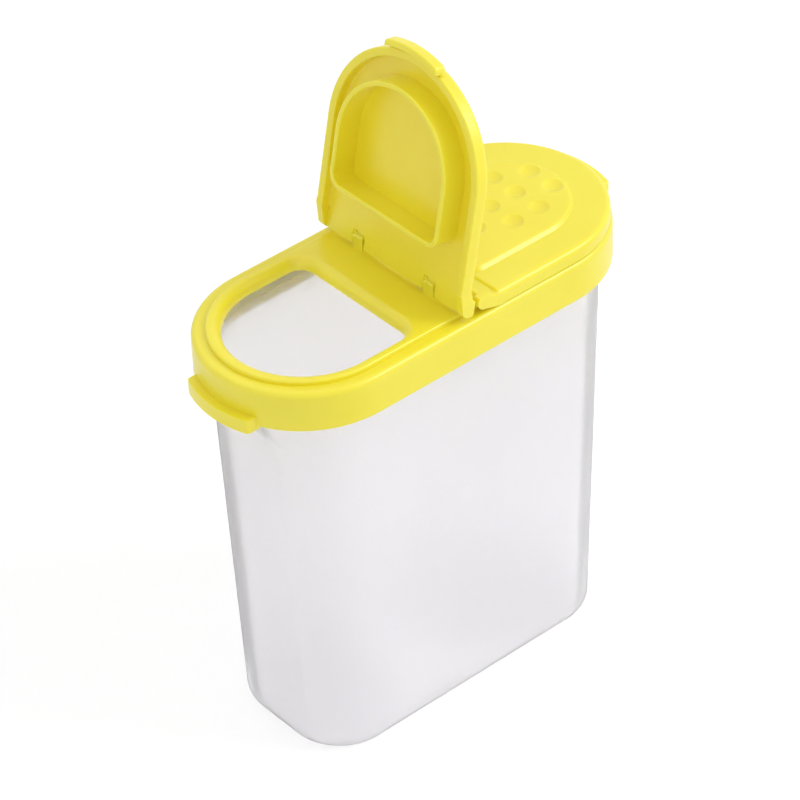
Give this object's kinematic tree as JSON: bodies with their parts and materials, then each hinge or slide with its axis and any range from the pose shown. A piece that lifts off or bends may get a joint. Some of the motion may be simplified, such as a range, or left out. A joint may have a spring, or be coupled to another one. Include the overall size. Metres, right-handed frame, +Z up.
{
  "type": "spice jar",
  "caption": "Frosted oval-ended spice jar with a lift-off yellow lid that carries a hinged pouring flap and a hinged shaker flap.",
  "frame": {"origin": "middle of the container's underside, on the surface that it stands on", "axes": "+Z up, +X along the jar towards the shaker end, so the pouring flap is at -X; +Y across the jar"},
  "size_m": [0.1037, 0.0462, 0.1543],
  "materials": {
    "frosted_plastic": "frosted, faintly translucent white",
    "yellow_plastic": "satin yellow, soft highlights"
  },
  "bodies": {
    "container": {"container": "frosted_plastic"},
    "lid": {"lid_base": "yellow_plastic"},
    "pour_flap": {"pour_flap": "yellow_plastic"},
    "shaker_flap": {"shaker_flap": "yellow_plastic"}
  },
  "joints": [
    {"name": "lid_lift", "type": "slide", "parent": "container", "child": "lid", "axis": [0, 0, 1], "range_m": [0, 0.03]},
    {"name": "pour_hinge", "type": "hinge", "parent": "lid", "child": "pour_flap", "pos_m": [-0.0021, 0, 0.105], "axis": [0, 1, 0], "range_deg": [-102, 0]},
    {"name": "shaker_hinge", "type": "hinge", "parent": "lid", "child": "shaker_flap", "pos_m": [0.0021, 0, 0.105], "axis": [0, -1, 0], "range_deg": [0, 77]}
  ]
}
